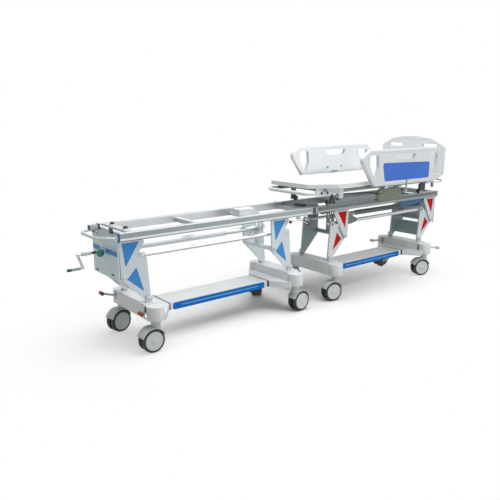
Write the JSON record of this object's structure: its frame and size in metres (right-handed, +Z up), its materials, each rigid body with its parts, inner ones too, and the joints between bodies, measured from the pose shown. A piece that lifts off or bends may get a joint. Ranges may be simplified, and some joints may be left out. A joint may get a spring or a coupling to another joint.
{
  "type": "docking patient-transfer stretcher",
  "caption": "Docking patient-transfer stretcher: castor trolleys with hand-cranked lifting levers, and a platform with side rails that rolls along shared rails.",
  "frame": {"origin": "on the floor, below the middle of the whole stretcher", "axes": "+X along the stretcher towards the headboard, +Y to the far side, +Z up"},
  "size_m": [4.128, 0.936, 1.476],
  "materials": {
    "white_plastic": "satin moulded",
    "grey_plastic": "satin moulded",
    "light_paint": "powder coat",
    "dark_paint": "powder coat",
    "aluminium": "anodised",
    "steel": "zinc plated",
    "tyre": "smooth tread",
    "black_plastic": "moulded",
    "blue_paint": "powder coat",
    "red_paint": "powder coat",
    "green_plastic": "moulded",
    "teal_grip": "moulded"
  },
  "bodies": {
    "base_a": {"base_frame_a": "light_paint", "shelf_a": "white_plastic", "beam_covers_a": "white_plastic"},
    "outer_levers_a": {"outer_levers_a": "light_paint"},
    "frame_a": {"rails_a": "aluminium", "leg_brackets_a": "light_paint", "cross_members_a": "light_paint", "end_panel_a": "white_plastic", "bumper_a": "light_paint", "end_stops_a": "aluminium", "dock_box_a": "white_plastic"},
    "inner_levers_a": {"inner_levers_a": "light_paint"},
    "tie_rods_a": {"tie_rods_a": "aluminium"},
    "nut_tube_a": {"nut_tube_a": "aluminium"},
    "crank_a": {"crank_a": "steel"},
    "crank_grip_a": {"crank_grip_a": "teal_grip"},
    "dock_release": {"dock_release_a": "steel"},
    "frame_b": {"rails_b": "aluminium", "leg_brackets_b": "light_paint", "cross_members_b": "light_paint", "end_panel_b": "white_plastic"},
    "outer_levers_b": {"outer_levers_b": "light_paint"},
    "base_b": {"base_frame_b": "light_paint", "shelf_b": "white_plastic", "beam_covers_b": "white_plastic"},
    "inner_levers_b": {"inner_levers_b": "light_paint"},
    "tie_rods_b": {"tie_rods_b": "aluminium"},
    "nut_tube_b": {"nut_tube_b": "aluminium"},
    "screw_b": {"screw_b": "steel"},
    "platform": {"carriage": "light_paint", "deck": "white_plastic", "oval_cover": "green_plastic"},
    "backrest": {"backrest": "white_plastic"},
    "side_rail_near": {"side_rail_near": "white_plastic"},
    "side_rail_far": {"side_rail_far": "white_plastic"},
    "headboard": {"headboard": "white_plastic"},
    "rollers_left": {"rollers_left": "black_plastic"},
    "rollers_right": {"rollers_right": "black_plastic"},
    "brake_bar_a": {"brake_bar_a": "steel"},
    "fifth_arm_a": {"fifth_arm_a": "steel"},
    "fifth_wheels_a": {"fifth_wheels_a": "tyre"},
    "brake_bar_b": {"brake_bar_b": "steel"},
    "fifth_arm_b": {"fifth_arm_b": "steel"},
    "fifth_wheels_b": {"fifth_wheels_b": "tyre"},
    "fork_outer_near_a": {"castor_fork_outer_near_a": "grey_plastic"},
    "wheels_outer_near_a": {"castor_wheels_outer_near_a": "tyre"},
    "fork_outer_far_a": {"castor_fork_outer_far_a": "grey_plastic"},
    "wheels_outer_far_a": {"castor_wheels_outer_far_a": "tyre"},
    "fork_inner_near_a": {"castor_fork_inner_near_a": "grey_plastic"},
    "wheels_inner_near_a": {"castor_wheels_inner_near_a": "tyre"},
    "fork_inner_far_a": {"castor_fork_inner_far_a": "grey_plastic"},
    "wheels_inner_far_a": {"castor_wheels_inner_far_a": "tyre"},
    "fork_inner_near_b": {"castor_fork_inner_near_b": "grey_plastic"},
    "wheels_inner_near_b": {"castor_wheels_inner_near_b": "tyre"},
    "fork_inner_far_b": {"castor_fork_inner_far_b": "grey_plastic"},
    "wheels_inner_far_b": {"castor_wheels_inner_far_b": "tyre"},
    "fork_outer_near_b": {"castor_fork_outer_near_b": "grey_plastic"},
    "wheels_outer_near_b": {"castor_wheels_outer_near_b": "tyre"},
    "fork_outer_far_b": {"castor_fork_outer_far_b": "grey_plastic"},
    "wheels_outer_far_b": {"castor_wheels_outer_far_b": "tyre"}
  },
  "joints": [
    {"name": "lift", "type": "hinge", "parent": "base_a", "child": "outer_levers_a", "pos_m": [-1.554, 0, 0.382], "axis": [0, 1, 0], "range_deg": [-33, 25]},
    {"name": "frame_a_level", "type": "hinge", "parent": "outer_levers_a", "child": "frame_a", "pos_m": [-1.744, 0, 0.575], "axis": [0, 1, 0], "range_deg": [-40, 40]},
    {"name": "inner_levers_a_swing", "type": "hinge", "parent": "frame_a", "child": "inner_levers_a", "pos_m": [-0.347, 0, 0.575], "axis": [0, 1, 0], "range_deg": [-40, 40]},
    {"name": "tie_rods_a_level", "type": "hinge", "parent": "outer_levers_a", "child": "tie_rods_a", "pos_m": [-1.579, 0, 0.702], "axis": [0, 1, 0], "range_deg": [-40, 40]},
    {"name": "nut_a_travel", "type": "slide", "parent": "frame_a", "child": "nut_tube_a", "axis": [1, 0, 0], "range_m": [-0.11, 0.09]},
    {"name": "crank_turn", "type": "hinge", "parent": "frame_a", "child": "crank_a", "pos_m": [-1.774, 0, 0.735], "axis": [1, 0, 0], "continuous": true},
    {"name": "crank_grip_spin", "type": "hinge", "parent": "crank_a", "child": "crank_grip_a", "pos_m": [-1.956, 0, 0.634], "axis": [1, 0, 0], "continuous": true},
    {"name": "dock_release_turn", "type": "hinge", "parent": "frame_a", "child": "dock_release", "pos_m": [-0.091, -0.241, 0.812], "axis": [0, 1, 0], "range_deg": [-12, 12]},
    {"name": "undock", "type": "slide", "parent": "frame_a", "child": "frame_b", "axis": [1, 0, 0], "range_m": [0, 0.3]},
    {"name": "outer_levers_b_swing", "type": "hinge", "parent": "frame_b", "child": "outer_levers_b", "pos_m": [1.952, 0, 0.575], "axis": [0, 1, 0], "range_deg": [-40, 40]},
    {"name": "base_b_level", "type": "hinge", "parent": "outer_levers_b", "child": "base_b", "pos_m": [1.762, 0, 0.382], "axis": [0, 1, 0], "range_deg": [-40, 40]},
    {"name": "inner_levers_b_swing", "type": "hinge", "parent": "frame_b", "child": "inner_levers_b", "pos_m": [0.555, 0, 0.575], "axis": [0, 1, 0], "range_deg": [-40, 40]},
    {"name": "tie_rods_b_level", "type": "hinge", "parent": "outer_levers_b", "child": "tie_rods_b", "pos_m": [1.787, 0, 0.702], "axis": [0, 1, 0], "range_deg": [-40, 40]},
    {"name": "nut_b_travel", "type": "slide", "parent": "frame_b", "child": "nut_tube_b", "axis": [-1, 0, 0], "range_m": [-0.11, 0.09]},
    {"name": "screw_b_turn", "type": "hinge", "parent": "frame_b", "child": "screw_b", "pos_m": [1.982, 0, 0.735], "axis": [1, 0, 0], "continuous": true},
    {"name": "platform_travel", "type": "slide", "parent": "frame_b", "child": "platform", "axis": [-1, 0, 0], "range_m": [0, 1.7]},
    {"name": "backrest_tilt", "type": "hinge", "parent": "platform", "child": "backrest", "pos_m": [0.964, 0, 1.099], "axis": [0, -1, 0], "range_deg": [0, 70]},
    {"name": "side_rail_near_fold", "type": "hinge", "parent": "platform", "child": "side_rail_near", "pos_m": [0.804, -0.45, 1.041], "axis": [1, 0, 0], "range_deg": [0, 170]},
    {"name": "side_rail_far_fold", "type": "hinge", "parent": "platform", "child": "side_rail_far", "pos_m": [0.804, 0.45, 1.041], "axis": [-1, 0, 0], "range_deg": [0, 170]},
    {"name": "headboard_lift", "type": "slide", "parent": "platform", "child": "headboard", "axis": [0, 0, 1], "range_m": [0, 0.15]},
    {"name": "rollers_left_spin", "type": "hinge", "parent": "platform", "child": "rollers_left", "pos_m": [0.287, 0, 0.918], "axis": [0, 1, 0], "range_deg": [-4600, 100]},
    {"name": "rollers_right_spin", "type": "hinge", "parent": "platform", "child": "rollers_right", "pos_m": [1.664, 0, 0.918], "axis": [0, 1, 0], "range_deg": [-4600, 100]},
    {"name": "brake_a_rock", "type": "hinge", "parent": "base_a", "child": "brake_bar_a", "pos_m": [-1.588, 0, 0.3], "axis": [0, 1, 0], "range_deg": [-8, 8]},
    {"name": "brake_b_rock", "type": "hinge", "parent": "base_b", "child": "brake_bar_b", "pos_m": [1.796, 0, 0.3], "axis": [0, 1, 0], "range_deg": [-8, 8]},
    {"name": "fifth_arm_a_drop", "type": "hinge", "parent": "base_a", "child": "fifth_arm_a", "pos_m": [-0.596, 0, 0.2], "axis": [0, 1, 0], "range_deg": [0, 46]},
    {"name": "fifth_arm_b_drop", "type": "hinge", "parent": "base_b", "child": "fifth_arm_b", "pos_m": [1.579, 0, 0.2], "axis": [0, -1, 0], "range_deg": [0, 31]},
    {"name": "fifth_wheels_a_spin", "type": "hinge", "parent": "fifth_arm_a", "child": "fifth_wheels_a", "pos_m": [-0.396, 0, 0.176], "axis": [0, 1, 0], "continuous": true},
    {"name": "fifth_wheels_b_spin", "type": "hinge", "parent": "fifth_arm_b", "child": "fifth_wheels_b", "pos_m": [1.379, 0, 0.159], "axis": [0, 1, 0], "continuous": true},
    {"name": "swivel_outer_near_a", "type": "hinge", "parent": "base_a", "child": "fork_outer_near_a", "pos_m": [-1.546, -0.271, 0], "axis": [0, 0, 1], "continuous": true},
    {"name": "roll_outer_near_a", "type": "hinge", "parent": "fork_outer_near_a", "child": "wheels_outer_near_a", "pos_m": [-1.586, -0.271, 0.09], "axis": [0, 1, 0], "continuous": true},
    {"name": "swivel_outer_far_a", "type": "hinge", "parent": "base_a", "child": "fork_outer_far_a", "pos_m": [-1.546, 0.271, 0], "axis": [0, 0, 1], "continuous": true},
    {"name": "roll_outer_far_a", "type": "hinge", "parent": "fork_outer_far_a", "child": "wheels_outer_far_a", "pos_m": [-1.58526, 0.26337, 0.09], "axis": [-0.1908, 0.9816, 0], "continuous": true},
    {"name": "swivel_inner_near_a", "type": "hinge", "parent": "base_a", "child": "fork_inner_near_a", "pos_m": [-0.151, -0.271, 0], "axis": [0, 0, 1], "continuous": true},
    {"name": "roll_inner_near_a", "type": "hinge", "parent": "fork_inner_near_a", "child": "wheels_inner_near_a", "pos_m": [-0.11102, -0.2696, 0.09], "axis": [0.0349, -0.9994, 0], "continuous": true},
    {"name": "swivel_inner_far_a", "type": "hinge", "parent": "base_a", "child": "fork_inner_far_a", "pos_m": [-0.151, 0.271, 0], "axis": [0, 0, 1], "continuous": true},
    {"name": "roll_inner_far_a", "type": "hinge", "parent": "fork_inner_far_a", "child": "wheels_inner_far_a", "pos_m": [-0.12423, 0.30073, 0.09], "axis": [0.7431, -0.6691, 0], "continuous": true},
    {"name": "swivel_inner_near_b", "type": "hinge", "parent": "base_b", "child": "fork_inner_near_b", "pos_m": [0.359, -0.271, 0], "axis": [0, 0, 1], "continuous": true},
    {"name": "roll_inner_near_b", "type": "hinge", "parent": "fork_inner_near_b", "child": "wheels_inner_near_b", "pos_m": [0.32003, -0.262, 0.09], "axis": [0.225, 0.9744, 0], "continuous": true},
    {"name": "swivel_inner_far_b", "type": "hinge", "parent": "base_b", "child": "fork_inner_far_b", "pos_m": [0.359, 0.271, 0], "axis": [0, 0, 1], "continuous": true},
    {"name": "roll_inner_far_b", "type": "hinge", "parent": "fork_inner_far_b", "child": "wheels_inner_far_b", "pos_m": [0.31939, 0.26543, 0.09], "axis": [-0.1392, 0.9903, 0], "continuous": true},
    {"name": "swivel_outer_near_b", "type": "hinge", "parent": "base_b", "child": "fork_outer_near_b", "pos_m": [1.754, -0.271, 0], "axis": [0, 0, 1], "continuous": true},
    {"name": "roll_outer_near_b", "type": "hinge", "parent": "fork_outer_near_b", "child": "wheels_outer_near_b", "pos_m": [1.71691, -0.25602, 0.09], "axis": [0.3746, 0.9272, 0], "continuous": true},
    {"name": "swivel_outer_far_b", "type": "hinge", "parent": "base_b", "child": "fork_outer_far_b", "pos_m": [1.754, 0.271, 0], "axis": [0, 0, 1], "continuous": true},
    {"name": "roll_outer_far_b", "type": "hinge", "parent": "fork_outer_far_b", "child": "wheels_outer_far_b", "pos_m": [1.71487, 0.27932, 0.09], "axis": [0.2079, 0.9781, 0], "continuous": true}
  ],
  "couplings": [
    {"joint": "frame_a_level", "follows": "lift", "ratio": -1},
    {"joint": "inner_levers_a_swing", "follows": "lift", "ratio": 1},
    {"joint": "tie_rods_a_level", "follows": "lift", "ratio": -1},
    {"joint": "nut_a_travel", "follows": "lift", "m_per_rad": 0.17475},
    {"joint": "crank_turn", "follows": "lift", "ratio": -109.8},
    {"joint": "outer_levers_b_swing", "follows": "lift", "ratio": -1},
    {"joint": "base_b_level", "follows": "lift", "ratio": 1},
    {"joint": "inner_levers_b_swing", "follows": "lift", "ratio": -1},
    {"joint": "tie_rods_b_level", "follows": "lift", "ratio": 1},
    {"joint": "nut_b_travel", "follows": "lift", "m_per_rad": 0.17475},
    {"joint": "screw_b_turn", "follows": "lift", "ratio": 109.8},
    {"joint": "rollers_left_spin", "follows": "platform_travel", "rad_per_m": -46.083},
    {"joint": "rollers_right_spin", "follows": "platform_travel", "rad_per_m": -46.083}
  ]
}
